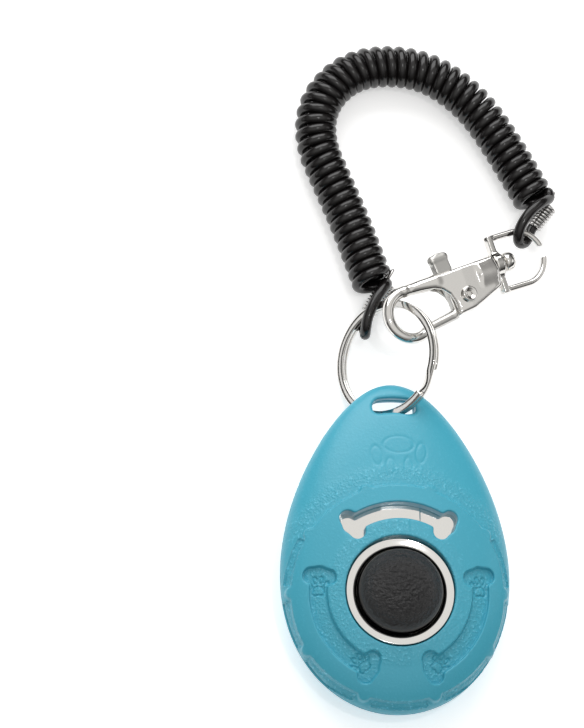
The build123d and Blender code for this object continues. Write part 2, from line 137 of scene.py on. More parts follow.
def build_floor():
    mesh = bpy.data.meshes.new("floor")
    turns = ((-1, -1), (1, -1), (1, 1), (-1, 1))
    corners = [(x * FLOOR_REACH, y * FLOOR_REACH, 0) for x, y in turns]
    mesh.from_pydata(corners, [], [(0, 1, 2, 3)])
    floor = bpy.data.objects.new("floor", mesh)
    floor.location.z = -FLOOR_DROP
    bpy.context.collection.objects.link(floor)
    paper = bpy.data.materials.new("paper")
    paper.use_nodes = True
    shader = paper.node_tree.nodes["Principled BSDF"]
    shader.inputs["Base Color"].default_value = (0.93, 0.93, 0.93, 1)
    shader.inputs["Roughness"].default_value = 0.8
    shader.inputs["Emission Color"].default_value = (1, 1, 1, 1)
    shader.inputs["Emission Strength"].default_value = FLOOR_GLOW
    mesh.materials.append(paper)


# ---------------------------------------------------------------- materials


BROAD_NOISE = 60
# levels of the fine noise between which the painted glints, lighter specks in the colour, fade in
GLINT_FROM, GLINT_TO = 0.56, 0.70


def noise_texture(nodes, scale, detail):
    texture = nodes.new("ShaderNodeTexNoise")
    texture.inputs["Scale"].default_value = scale
    texture.inputs["Detail"].default_value = detail
    return texture


def product(nodes, links, first, second):
    """One socket's value times a number or another socket's value."""
    node = nodes.new("ShaderNodeMath")
    node.operation = "MULTIPLY"
    links.new(first, node.inputs[0])
    if isinstance(second, float):
        node.inputs[1].default_value = second
    else:
        links.new(second, node.inputs[1])
    return node.outputs[0]


def mixed_colour(nodes, links, amount, first, second):
    """A colour between two by an amount, where the first may come from another node."""
    mix = nodes.new("ShaderNodeMix")
    mix.data_type = "RGBA"
    if isinstance(first, tuple):
        mix.inputs["A"].default_value = (*first, 1)
    else:
        links.new(first, mix.inputs["A"])
    mix.inputs["B"].default_value = (*second, 1)
    links.new(amount, mix.inputs["Factor"])
    return mix.outputs["Result"]


def painted_glints(nodes, links, fine, masked, strength, under, colour):
    """Painted glints: lighter specks over a colour, standing in for light sparkling on the grain, where the
    fine noise is highest and the mask lets them.
    """
    glint_spots = nodes.new("ShaderNodeMapRange")
    glint_spots.inputs["From Min"].default_value = GLINT_FROM
    glint_spots.inputs["From Max"].default_value = GLINT_TO
    links.new(fine, glint_spots.inputs["Value"])
    amount = product(nodes, links, glint_spots.outputs["Result"], strength)
    if masked:
        amount = product(nodes, links, amount, masked)
    glint_colour = tuple(min(1, c * 1.6 + 0.12) for c in colour)
    return mixed_colour(nodes, links, amount, under, glint_colour)


def material(name, colour, roughness, metal=0.0, noise=400.0, bump=0.0, depth=0.0001, wear=0.04,
             mask=None, glint_strength=0.0):
    """A procedural finish: noise in roughness, a bumped grain (where mask says), painted glints as lighter
    specks in the colour (where asked, also by the mask) and slight wear.
    """
    made = bpy.data.materials.new(name)
    made.use_nodes = True
    nodes, links = made.node_tree.nodes, made.node_tree.links
    shader = nodes["Principled BSDF"]
    shader.inputs["Metallic"].default_value = metal
    coordinates = nodes.new("ShaderNodeTexCoord")
    fine, broad = noise_texture(nodes, noise, 5), noise_texture(nodes, BROAD_NOISE, 3)
    for texture in (fine, broad):
        links.new(coordinates.outputs["Object"], texture.inputs["Vector"])
    rough = nodes.new("ShaderNodeMapRange")
    rough.inputs["To Min"].default_value = max(0.02, roughness - wear)
    rough.inputs["To Max"].default_value = roughness + wear
    links.new(broad.outputs["Fac"], rough.inputs["Value"])
    links.new(rough.outputs["Result"], shader.inputs["Roughness"])
    worn = tuple(c * 0.93 for c in colour)
    colour_out = mixed_colour(nodes, links, broad.outputs["Fac"], worn, colour)
    masked = None
    if mask:
        attribute = nodes.new("ShaderNodeAttribute")
        attribute.attribute_name = mask
        masked = attribute.outputs["Fac"]
    # painted glints: lighter specks in the base colour for the sparkle of light on the grain
    if glint_strength:
        colour_out = painted_glints(nodes, links, fine.outputs["Fac"], masked, glint_strength, colour_out, colour)
    links.new(colour_out, shader.inputs["Base Color"])
    if bump:
        height = nodes.new("ShaderNodeBump")
        height.inputs["Strength"].default_value = bump
        height.inputs["Distance"].default_value = depth
        grain = fine.outputs["Fac"]
        if masked:
            grain = product(nodes, links, grain, masked)
        links.new(grain, height.inputs["Height"])
        links.new(height.outputs["Normal"], shader.inputs["Normal"])
    return made


NICKEL = (0.74, 0.725, 0.70)
STEEL = (0.62, 0.61, 0.60)
BLACK = (0.007, 0.006, 0.006)
TEAL = (0.062, 0.41, 0.55)

finishes = {
    # the teal's lighter specks are painted glints of light on its grain; its mask also sets where the grain
    # is bumped
    "teal": material("teal", TEAL, 0.33, noise=2000, bump=1.0, depth=0.00025, mask="grain", glint_strength=0.45),
    "teal_plain": material("teal_plain", TEAL, 0.42, noise=2600, bump=0.25, depth=0.00006),
    "button": material("button", (0.012, 0.012, 0.013), 0.38, noise=1500, bump=1.0, depth=0.0008,
                       mask="grain"),
    "cord": material("cord", BLACK, 0.2, noise=900, bump=0.04),
    "nickel": material("nickel", NICKEL, 0.09, metal=1.0, noise=700, bump=0.03, wear=0.03),
    "satin": material("satin", (0.62, 0.61, 0.585), 0.34, metal=1.0, noise=3000, bump=0.15, depth=0.00003),
    "mirror": material("mirror", (0.86, 0.85, 0.82), 0.06, metal=1.0, noise=500, bump=0.02, wear=0.02),
    "steel": material("steel", STEEL, 0.25, metal=1.0, noise=1200, bump=0.05),
    "plastic": material("plastic", (0.03, 0.03, 0.033), 0.4, noise=1500, bump=0.1),
}


# ---------------------------------------------------------------- building meshes


def to_object(name, points, faces, body, finish, nodes=(), flat=False):
    """A mesh from millimetre points, riding on a body and standing for CAD nodes."""
    mesh = bpy.data.meshes.new(name)
    mesh.from_pydata([tuple(p) for p in np.asarray(points) * MM], [], faces)
    mesh.validate()
    mesh.polygons.foreach_set("use_smooth", [not flat] * len(mesh.polygons))
    mesh.materials.append(finishes[finish])
    thing = bpy.data.objects.new(name, mesh)
    bpy.context.collection.objects.link(thing)
    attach(thing, body)
    if nodes:
        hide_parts(*nodes)
    return thing


def crossings(v, axis):
    """Inner grid edges along one axis where the field changes sign, the points there and their side."""
    first, second = [slice(None)] * 3, [slice(None)] * 3
    first[axis], second[axis] = slice(0, -1), slice(1, None)
    a, b = v[tuple(first)], v[tuple(second)]
    where = np.argwhere((a < 0) != (b < 0))
    for k in range(3):
        if k != axis:
            where = where[(where[:, k] > 0) & (where[:, k] < v.shape[k] - 1)]
    at_a, at_b = a[tuple(where.T)], b[tuple(where.T)]
    place = where.astype(float)
    place[:, axis] += at_a / (at_a - at_b)
    return where, place, at_a < 0


def cells_round(where, axis, steps):
    """The grid cells that share each crossed edge, one set for each pair of steps back."""
    one, other = [k for k in range(3) if k != axis]
    for back_one, back_other in steps:
        cell = where.copy()
        cell[:, one] -= back_one
        cell[:, other] -= back_other
        yield tuple(cell.T)


def drawn_on(field, points, step):
    """The points, moved along the field's slope on to its zero surface."""
    small = step * 0.1
    for _ in range(3):
        f = field(*points.T)
        slope = np.empty_like(points)
        for k in range(3):
            shift = np.zeros(3)
            shift[k] = small
            slope[:, k] = (field(*(points + shift).T) - field(*(points - shift).T)) / (2 * small)
        size = np.maximum((slope**2).sum(1), 0.05)
        move = slope * (f / size)[:, None]
        length = np.maximum(np.linalg.norm(move, axis=1), 1e-9)
        points = points - move * np.minimum(1, step * 0.6 / length)[:, None]
    return points


def surface(field, low, high, step):
    """The zero surface of a field of millimetres, as a quad mesh."""
    counts = [max(4, int(np.ceil((b - a) / step)) + 3) for a, b in zip(low, high)]
    start = np.array(low) - step
    lines = [start[k] + step * np.arange(counts[k]) for k in range(3)]
    v = field(lines[0][:, None, None], lines[1][None, :, None], lines[2][None, None, :])
    v = np.broadcast_to(v, counts)
    shape = np.array(counts) - 1
    total, count = np.zeros((*shape, 3)), np.zeros(shape)
    edges = [crossings(v, axis) for axis in range(3)]
    for axis, (where, place, _) in enumerate(edges):
        for cell in cells_round(where, axis, ((0, 0), (0, 1), (1, 0), (1, 1))):
            np.add.at(total, cell, place)
            np.add.at(count, cell, 1)
    used = count > 0
    index = -np.ones(shape, int)
    index[used] = np.arange(used.sum())
    points = start + total[used] / count[used][:, None] * step
    faces = []
    for axis, (where, _, inside) in enumerate(edges):
        corners = cells_round(where, axis, ((1, 1), (0, 1), (0, 0), (1, 0)))
        quad = np.stack([index[cell] for cell in corners], 1)
        turned = inside if axis != 1 else ~inside
        quad[~turned] = quad[~turned][:, ::-1]
        faces.append(quad)
    return drawn_on(field, points, step), np.concatenate(faces).tolist()


def smin(a, b, k):
    """Union of two fields with a rounded inner corner."""
    h = np.clip(0.5 + 0.5 * (b - a) / k, 0, 1)
    return b + (a - b) * h - k * h * (1 - h)


def smax(a, b, k):
    """Overlap of two fields with a rounded edge."""
    return -smin(-a, -b, k)


def step_up(d, width):
    """1 well inside a flat outline, 0 well outside, with a smooth shoulder of that width."""
    t = np.clip(0.5 - d / width, 0, 1)
    return t * t * (3 - 2 * t)


def polygon_field(points):
    """Distance to a closed outline, less than 0 inside."""
    corners = [np.array(p, float) for p in points]

    def field(x, y):
        best, inside = np.inf, False
        for a, b in zip(corners, corners[1:] + corners[:1]):
            e = b - a
            t = np.clip(((x - a[0]) * e[0] + (y - a[1]) * e[1]) / (e @ e), 0, 1)
            d = (x - a[0] - e[0] * t) ** 2 + (y - a[1] - e[1] * t) ** 2
            best = np.minimum(best, d)
            rise = b[1] - a[1] + 1e-12
            crosses = ((a[1] > y) != (b[1] > y)) & (x < e[0] * (y - a[1]) / rise + a[0])
            inside = inside ^ crosses
        return np.where(inside, -1, 1) * np.sqrt(best)

    return field


def slab(flat, height, edge):
    """A flat outline's field and a distance past the top or bottom face, joined with a round edge."""
    outer = np.sqrt(np.maximum(flat + edge, 0) ** 2 + np.maximum(height + edge, 0) ** 2)
    return outer + np.minimum(np.maximum(flat + edge, height + edge), 0) - edge


def segment_field(x, y, z, a, b, first, last=None):
    """A rod from a to b, its radius changing from first to last."""
    last = first if last is None else last
    a, b = np.array(a, float), np.array(b, float)
    e = b - a
    t = np.clip(((x - a[0]) * e[0] + (y - a[1]) * e[1] + (z - a[2]) * e[2]) / (e @ e), 0, 1)
    away = np.sqrt((x - a[0] - e[0] * t) ** 2 + (y - a[1] - e[1] * t) ** 2 + (z - a[2] - e[2] * t) ** 2)
    return away - (first + (last - first) * t)


def revolved(profile, segments=96):
    """Points and faces of a closed or open profile of (radius, height) turned about Z."""
    points, faces = [], []
    count = len(profile)
    for k in range(segments):
        angle = 2 * pi * k / segments
        points += [(r * cos(angle), r * sin(angle), h) for r, h in profile]
    for k in range(segments):
        here, after = k * count, (k + 1) % segments * count
        for m in range(count - 1):
            faces.append((here + m, after + m, after + m + 1, here + m + 1))
    return points, faces


def smooth_profile(corners, each):
    """A profile with its corners rounded off by a curve through the middles of its runs."""
    corners = [np.array(c, float) for c in corners]
    line = [corners[0]]
    for a, b, c in zip(corners, corners[1:], corners[2:]):
        first, last = (a + b) / 2, (b + c) / 2
        for t in np.linspace(0, 1, each, endpoint=False):
            line.append((1 - t) ** 2 * first + 2 * t * (1 - t) * b + t**2 * last)
    return line + [corners[-1]]


def swept(path, section, closed=False):
    """A section of (side, up) points carried along a path with its own side and up directions."""
    points, faces = [], []
    count = len(section)
    for centre, side, up in path:
        points += [centre + side * a + up * b for a, b in section]
    runs = len(path) if closed else len(path) - 1
    for k in range(runs):
        here, after = k * count, (k + 1) % len(path) * count
        for m in range(count):
            n = (m + 1) % count
            faces.append((here + m, here + n, after + n, after + m))
    if not closed:
        faces.append(tuple(range(count))[::-1])
        faces.append(tuple(range((len(path) - 1) * count, len(path) * count)))
    return points, faces


def round_section(radius, sides):
    return [(radius * cos(2 * pi * k / sides), radius * sin(2 * pi * k / sides)) for k in range(sides)]


def along(points):
    """A path's points with side and up directions that turn as little as they can."""
    points = [np.array(p, float) for p in points]
    path, up = [], np.array([0.0, 0.0, 1.0])
    for k, centre in enumerate(points):
        way = points[min(k + 1, len(points) - 1)] - points[max(k - 1, 0)]
        way /= np.linalg.norm(way)
        if abs(way @ up) > 0.98 and k == 0:
            up = np.array([1.0, 0.0, 0.0])
        up = up - way * (up @ way)
        up /= np.linalg.norm(up)
        path.append((centre, np.cross(up, way), up))
    return path


# ---------------------------------------------------------------- cord

CORD = 2.12  # across
COIL = 8.5  # across the turns
TURNS = 46.75
EACH_TURN = 16  # points in a turn
SKIP_FIRST, SKIP_LAST = 2, 3  # helix points that the end loops take the place of
COIL_ROUTE = (
    (-2.2, 63.8, 5.2),
    (-5.8, 75.3, 4.4),
    (-9.6, 84.6, 4.3),
    (-13.3, 93.6, 4.3),
    (-11.9, 102.4, 4.3),
    (-4.3, 109.1, 4.3),
    (7.9, 109.3, 4.3),
    (17.0, 103.9, 4.3),
    (23.7, 95.3, 4.3),
    (30.8, 81.4, 4.9),
)
# from inside the sleeve, under the split ring's wire, round it and up to the coil's first turn
RING_LOOP = (
    (0.8, 63.9, 5.4),
    (-1.4, 61.1, 3.9),
    (-3.5, 58.2, 2.5),
    (-4.0, 56.2, 2.6),
    (-4.1, 54.1, 4.2),
    (-4.3, 53.2, 6.0),
    (-4.4, 54.2, 7.9),
    (-4.1, 56.1, 8.6),
    (-3.4, 57.8, 8.8),
    (-2.4, 59.9, 8.8),
    (-1.2, 61.7, 8.6),
    (0.5, 63.8, 7.2),
)
# over the coil's last turn, down round the D-ring's wire and back into the sleeve
CLASP_LOOP = (
    (33.6, 81.8, 6.0),
    (31.6, 80.4, 8.6),
    (29.4, 78.7, 9.5),
    (27.8, 76.7, 9.4),
    (26.8, 75.0, 9.0),
    (26.4, 73.2, 8.0),
    (27.0, 72.3, 6.2),
    (28.7, 73.0, 4.5),
    (29.5, 75.2, 4.0),
    (30.2, 76.6, 4.0),
    (33.7, 80.7, 4.4),
)
SLEEVE_RADIUS = 1.45
SLEEVE_WIRE = 0.6
SLEEVE_PITCH = 0.68
SLEEVE_EACH_TURN = 14
RING_SLEEVE, CLASP_SLEEVE = 6.8, 5.4
EYE_RADIUS, EYE_STRETCH, EYE_HEIGHT, EYE_DRIFT = 1.15, 1.2, 0.9, 0.06


def nurbs_points(points, each=24):
    """Points read from a smooth curve that has the given points as its control points."""
    curve = bpy.data.curves.new("route", "CURVE")
    curve.dimensions = "3D"
    curve.resolution_u = each
    spline = curve.splines.new("NURBS")
    spline.points.add(len(points) - 1)
    for point, place in zip(spline.points, points):
        point.co = (*[c * MM for c in place], 1)
    spline.order_u = 3
    spline.use_endpoint_u = True
    thing = bpy.data.objects.new("route", curve)
    bpy.context.collection.objects.link(thing)
    bpy.context.view_layer.update()
    line = bpy.data.meshes.new_from_object(thing)
    read = [np.array(v.co) / MM for v in line.vertices]
    bpy.data.objects.remove(thing)
    bpy.data.meshes.remove(line)
    return read


def evenly(points, count):
    """The same line as count points, equally far apart."""
    points = np.array(points)
    lengths = np.concatenate([[0], np.cumsum(np.linalg.norm(np.diff(points, axis=0), axis=1))])
    places = np.linspace(0, lengths[-1], count)
    return np.stack([np.interp(places, lengths, points[:, k]) for k in range(3)], 1)


def unit(v):
    v = np.array(v, float)
    return v / np.linalg.norm(v)


def turned_round(line, radius, turns, each):
    """Points of a right-handed helix wound about a line, from its right-hand side."""
    count = int(turns * each) + 1
    spine = evenly(line, count)
    up = np.array([0.0, 0.0, 1.0])
    points = []
    for k in range(count):
        way = unit(spine[min(k + 1, count - 1)] - spine[max(k - 1, 0)])
        side = unit(np.cross(way, up))
        angle = -2 * pi * k / each
        points.append(spine[k] + radius * (side * cos(angle) + np.cross(side, way) * sin(angle)))
    return points


def build_cord():
    """One length of cord: ring-end loop, the coil's turns, clasp-end loop."""
    spine = nurbs_points(COIL_ROUTE, each=40)
    turns = turned_round(spine, (COIL - CORD) / 2, TURNS, EACH_TURN)
    points = [*RING_LOOP, *turns[SKIP_FIRST:-SKIP_LAST], *CLASP_LOOP]
    curve = bpy.data.curves.new("cord", "CURVE")
    curve.dimensions = "3D"
    curve.resolution_u = 3
    curve.bevel_depth = CORD / 2 * MM
    curve.bevel_resolution = 4
    curve.use_fill_caps = True
    spline = curve.splines.new("NURBS")
    spline.points.add(len(points) - 1)
    for point, place in zip(spline.points, points):
        point.co = (*[float(c) * MM for c in place], 1)
    spline.order_u = 3
    spline.use_endpoint_u = True
    curve.materials.append(finishes["cord"])
    cord = bpy.data.objects.new("cord", curve)
    bpy.context.collection.objects.link(cord)
    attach(cord, "strap")
    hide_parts("coil_cord", "ring_end_loop", "clasp_end_loop")
    sleeves = [build_sleeve("ring_sleeve_coil", RING_LOOP, RING_SLEEVE, "ring_end_sleeve"),
               build_sleeve("clasp_sleeve_coil", CLASP_LOOP[::-1], CLASP_SLEEVE, "clasp_end_sleeve")]


def sleeve_eye(start, out):
    """The eye's points, once round and a little past, leading away from the sleeve's first turn."""
    side = unit(np.cross(out, (0, 0, 1)))
    points = []
    for k in range(SLEEVE_EACH_TURN + 2):
        angle = 2 * pi * k / SLEEVE_EACH_TURN
        reach = out * (EYE_RADIUS - EYE_RADIUS * cos(angle)) * EYE_STRETCH
        drop = np.array([0, 0, EYE_HEIGHT]) * sin(angle)
        points.append(start + reach - drop + side * EYE_DRIFT * k)
    return points


def build_sleeve(name, loop, length, node):
    """A spring wound round a loop's end, its last turn drawn out into an eye."""
    line = nurbs_points(loop)
    far = np.cumsum(np.linalg.norm(np.diff(np.array(line), axis=0), axis=1))
    held = [line[0], *[p for p, d in zip(line[1:], far) if d < length]]
    wound = turned_round(held, SLEEVE_RADIUS, length / SLEEVE_PITCH, SLEEVE_EACH_TURN)
    eye = sleeve_eye(wound[0], unit(held[0] - held[4]))
    points, faces = swept(along([*eye[::-1], *wound]), round_section(SLEEVE_WIRE / 2, 8))
    return to_object(name, points, faces, "strap", "steel", nodes=[node])


# ---------------------------------------------------------------- housing

EGG_BOTTOM, EGG_LENGTH = -22.8, 65.2
EGG_SHAPE = (22.08, -4.62, -1.19)
FLATNESS = 0.345
SHELL_MID_HEIGHT = 7.3
SHELL_RISE = radians(2.6)
CEILING = 12.5
BUTTON_HOLE_RADIUS = 10.75
BONE_RADIUS, BONE_WIDTH, BONE_KNOB, KNOB_SHIFT = 15.85, 3.3, 1.55, 1.6
BONE_DEPTH = 0.9
SLOT_HALF_ANGLE = 36.0
SIDE_BONE_ANGLES = (78.0, 158.0)
KEY_HOLE_CENTRE, KEY_HOLE_HALF, KEY_HOLE_CORNER = (0.2, 37.3), (4.25, 1.55), 1.45
RING_CENTRE = np.array([-0.4, 47.6, 8.95])
RING_TILT = radians(44)
RING_RADIUS = 11.1
RING_WAY = 1.4
RIM_RADIUS, RIM_STEP = 20.9, 0.5
RIM_TEETH = (17.5, 56.0, 89.0, 121.0, 160.5)
TOOTH_RADIUS, TOOTH_SET_IN = 1.25, 0.3
POCKETS = ((61, 84), (94, 116), (126, 155), (166, 194))  # degrees from the tip, either side
POCKET_RADIUS, POCKET_HALF = 21.5, 0.25
POCKET_DEPTH = 0.3
PAW_SIZE, PAW_LINE, PAW_DEPTH = 2.35, 0.12, 0.3
PAW_PLACES = ((86, 0), (151, 40))  # angle round the button, turn
PAW_TOES = ((-0.64, 0.10, 25), (-0.24, 0.52, 8), (0.24, 0.52, -8), (0.64, 0.10, -25))
TIP_PAW_LINE, TIP_PAW_DEPTH = 0.14, 0.09
TIP_PAW = (  # centre, half sizes, turn
    ((-1.3, 24.7), (0.85, 1.75), 0),
    ((2.3, 24.9), (0.8, 1.7), 0),
    ((-3.9, 27.0), (1.0, 2.0), 8),
    ((4.9, 27.6), (1.0, 2.0), -8),
    ((0.5, 29.3), (3.0, 1.7), 0),
)
SEAM = 0.12
WALL = 2.1
HOLLOW_RADIUS = 17.6
KEY_HOLE_LIP = 1.0
SCREW_PLACES = ((0.0, -17.0), (-10.0, 23.0), (10.0, 23.0))
SCREW_HOLE_RADIUS, SCREW_HOLE_DEPTH = 1.7, 4.6
SHELL_SIDE, SHELL_FOOT, SHELL_TIP = 22.7, -23.2, 42.8

egg_s = -np.cos(np.linspace(0, pi, 400))
egg_y = EGG_BOTTOM + (egg_s + 1) * EGG_LENGTH / 2
egg_round = EGG_SHAPE[0] + EGG_SHAPE[1] * egg_s + EGG_SHAPE[2] * egg_s**2
egg_w = np.sqrt(np.maximum(1 - egg_s**2, 0)) * egg_round
egg_slope = np.clip(np.gradient(egg_w, egg_y), -9, 9)


def shell_local(y, z):
    lift = z - SHELL_MID_HEIGHT
    return y * cos(SHELL_RISE) + lift * sin(SHELL_RISE), -y * sin(SHELL_RISE) + lift * cos(SHELL_RISE)


def egg_field(x, y, z):
    """Distance to the pebble, less than 0 inside."""
    along_y, height = shell_local(y, z)
    beyond = np.maximum(EGG_BOTTOM - along_y, along_y - EGG_BOTTOM - EGG_LENGTH)
    width = np.interp(along_y, egg_y, egg_w) - 6 * np.maximum(beyond, 0)
    slope = np.interp(along_y, egg_y, egg_slope)
    q = np.sqrt(x**2 + (height / FLATNESS) ** 2) + 1e-9
    steep = np.sqrt((x / q) ** 2 + slope**2 + (height / (FLATNESS**2 * q)) ** 2)
    return (q - width) / steep


def at_angle(radius, angle):
    return -radius * sin(radians(angle)), radius * cos(radians(angle))


def bone_field(x, y, first, last):
    """Distance to a bent bone round the button, between two angles from +Y towards -X."""
    r = np.sqrt(x * x + y * y)
    angle = np.degrees(np.arctan2(-x, y))
    middle, half = (first + last) / 2, (last - first) / 2
    off = np.abs((angle - middle + 180) % 360 - 180)
    past = np.radians(np.maximum(off - half, 0)) * BONE_RADIUS
    d = np.sqrt((r - BONE_RADIUS) ** 2 + past**2) - BONE_WIDTH / 2
    for end in (first + 1, last - 1):
        for shift in (-KNOB_SHIFT, KNOB_SHIFT):
            cx, cy = at_angle(BONE_RADIUS + shift, end)
            d = smin(d, np.sqrt((x - cx) ** 2 + (y - cy) ** 2) - BONE_KNOB, 0.6)
    return d


def oval(x, y, centre, half, turn=0.0):
    """Roughly the distance to an oval with the given half sizes, turned anticlockwise."""
    c, s = cos(radians(turn)), sin(radians(turn))
    u = ((x - centre[0]) * c + (y - centre[1]) * s) / half[0]
    v = (-(x - centre[0]) * s + (y - centre[1]) * c) / half[1]
    return (np.sqrt(u * u + v * v) - 1) * min(half)


def paw_field(x, y, centre, size, turn):
    """A paw print: three-lobed pad and four toes, its toes pointing along +Y before it is turned."""
    c, s = cos(radians(turn)), sin(radians(turn))
    u = ((x - centre[0]) * c + (y - centre[1]) * s) / size
    v = (-(x - centre[0]) * s + (y - centre[1]) * c) / size
    pad = smin(oval(u, v, (0, -0.30), (0.42, 0.34)), oval(u, v, (-0.26, -0.5), (0.22, 0.2)), 0.15)
    pad = smin(pad, oval(u, v, (0.26, -0.5), (0.22, 0.2)), 0.15)
    for tx, ty, lean in PAW_TOES:
        pad = np.minimum(pad, oval(u, v, (tx, ty), (0.17, 0.29), lean))
    return pad * size


def rim_field(x, y):
    """Distance to the raised disc's edge, with its teeth, less than 0 inside."""
    d = np.sqrt(x * x + y * y) - RIM_RADIUS
    for tooth in RIM_TEETH:
        for side in (tooth, -tooth):
            cx, cy = at_angle(RIM_RADIUS - TOOTH_SET_IN, side)
            d = smin(d, np.sqrt((x - cx) ** 2 + (y - cy) ** 2) - TOOTH_RADIUS, 0.5)
    return d


def side_bones(x, y):
    left = bone_field(x, y, *SIDE_BONE_ANGLES)
    return np.minimum(left, bone_field(-x, y, *SIDE_BONE_ANGLES))


def pockets(x, y):
    """Shallow pockets in the edge, between the rim's teeth."""
    r = np.sqrt(x * x + y * y)
    angle = np.abs(np.degrees(np.arctan2(-x, y)))
    best = np.inf
    for first, last in POCKETS:
        middle, half = (first + last) / 2, (last - first) / 2
        past = np.radians(np.maximum(np.abs(angle - middle) - half, 0)) * 20
        off = np.maximum(np.abs(r - POCKET_RADIUS) - POCKET_HALF, 0)
        best = np.minimum(best, np.sqrt(off**2 + past**2) - 0.3)
    return best


def paws(x, y):
    """The small paws in the ends of the side bones."""
    best = np.inf
    for side in (-1, 1):
        for angle, turn in PAW_PLACES:
            centre = at_angle(BONE_RADIUS, angle)
            best = np.minimum(best, paw_field(x * side, y, centre, PAW_SIZE, turn))
    return best


def tip_paw(x, y):
    """The large paw between the slot and the key hole."""
    best = np.inf
    for centre, half, turn in TIP_PAW:
        best = np.minimum(best, oval(x, y, centre, half, turn))
    return best


def relief(x, y):
    """How far the front stands out from the plain pebble."""
    bones = side_bones(x, y)
    height = RIM_STEP * step_up(rim_field(x, y), 0.35)
    height = height - BONE_DEPTH * step_up(bones, 0.4)
    paw_lines = PAW_DEPTH * step_up(np.abs(paws(x, y)) - PAW_LINE, 0.2)
    height = height - paw_lines * step_up(bones + 0.3, 0.2)
    height = height - POCKET_DEPTH * step_up(pockets(x, y), 0.3)
    return height - TIP_PAW_DEPTH * step_up(np.abs(tip_paw(x, y)) - TIP_PAW_LINE, 0.3)


def key_hole_field(x, y):
    dx = np.abs(x - KEY_HOLE_CENTRE[0]) - KEY_HOLE_HALF[0] + KEY_HOLE_CORNER
    arch = 0.45 * (1 - ((x - KEY_HOLE_CENTRE[0]) / KEY_HOLE_HALF[0]) ** 2)
    dy = np.abs(y - KEY_HOLE_CENTRE[1] - arch) - KEY_HOLE_HALF[1] + KEY_HOLE_CORNER
    outer = np.sqrt(np.maximum(dx, 0) ** 2 + np.maximum(dy, 0) ** 2)
    return outer + np.minimum(np.maximum(dx, dy), 0) - KEY_HOLE_CORNER


def ring_distance(x, y, z):
    """How far a point is from the middle line of the split ring's wire."""
    px, py, pz = x - RING_CENTRE[0], y - RING_CENTRE[1], z - RING_CENTRE[2]
    off = pz * cos(RING_TILT) - px * sin(RING_TILT)
    across = px * cos(RING_TILT) + pz * sin(RING_TILT)
    return np.sqrt((np.sqrt(across**2 + py**2) - RING_RADIUS) ** 2 + off**2)


def front_field(x, y, z):
    flat = x + 0 * y, y + 0 * x
    f = egg_field(x, y, z) - relief(*flat)
    r = np.sqrt(flat[0] ** 2 + flat[1] ** 2)
    f = smax(f, BUTTON_HOLE_RADIUS - r, 0.45)
    f = smax(f, -bone_field(*flat, -SLOT_HALF_ANGLE, SLOT_HALF_ANGLE), 0.4)
    f = smax(f, -key_hole_field(*flat), KEY_HOLE_LIP)
    f = smax(f, SEAM - shell_local(y, z)[1], 0.3)
    f = smax(f, RING_WAY - ring_distance(x, y, z), 0.3)
    hollow = np.maximum(np.maximum(r - HOLLOW_RADIUS, z - CEILING), egg_field(x, y, z) + WALL)
    return np.maximum(f, -hollow)


def back_field(x, y, z):
    flat = x + 0 * y, y + 0 * x
    f = smax(egg_field(x, y, z), -z, 0.8)
    f = smax(f, -key_hole_field(*flat), KEY_HOLE_LIP)
    f = smax(f, shell_local(y, z)[1], 0.3)
    f = smax(f, RING_WAY - ring_distance(x, y, z), 0.3)
    for sx, sy in SCREW_PLACES:
        hole = np.sqrt((x - sx) ** 2 + (y - sy) ** 2) - SCREW_HOLE_RADIUS
        f = smax(f, -np.maximum(hole, z - SCREW_HOLE_DEPTH), 0.25)
    return f


def set_grain(thing, value):
    """A point attribute that the finish reads as the strength of its grain, and on the teal front also of
    its painted glints.
    """
    layer = thing.data.attributes.new("grain", "FLOAT", "POINT")
    layer.data.foreach_set("value", value.astype(np.float32))


def front_grain_and_glints(x, y):
    """Grain bumps and painted glints round the button (stronger on its left, where the light catches them),
    along the tip's edge, and in the bones and pockets.
    """
    r = np.sqrt(x * x + y * y)
    angle = np.degrees(np.arctan2(-x, y))
    # painted glints: stronger left of the button and in the band above the slot, where the light catches the
    # surface
    inner = step_up(r - 14.2, 1.5) * np.where(x < 2, 1, 0.45)
    arc = step_up(np.abs(r - 23.0) - 1.6, 3.0) * step_up(np.abs(angle) - 62, 20) * step_up(y - 29, 6)
    bones = step_up(side_bones(x, y) + 0.2, 0.4)
    edge = step_up(pockets(x, y) - 0.2, 0.3)
    return np.clip(0.16 + 0.75 * inner + 0.9 * arc + bones + edge, 0, 1)


def build_housing():
    low, high = (-SHELL_SIDE, SHELL_FOOT, 6.0), (SHELL_SIDE, SHELL_TIP, 16.2)
    points, faces = surface(front_field, low, high, 0.2)
    front = to_object("front_shell_skin", points, faces, "housing", "teal", ["front_shell"])
    set_grain(front, front_grain_and_glints(points[:, 0], points[:, 1]))
    low, high = (-SHELL_SIDE, SHELL_FOOT, -0.1), (SHELL_SIDE, SHELL_TIP, 9.6)
    points, faces = surface(back_field, low, high, 0.4)
    to_object("back_cover_skin", points, faces, "housing", "teal_plain", ["back_cover"])


# ---------------------------------------------------------------- button and click plate


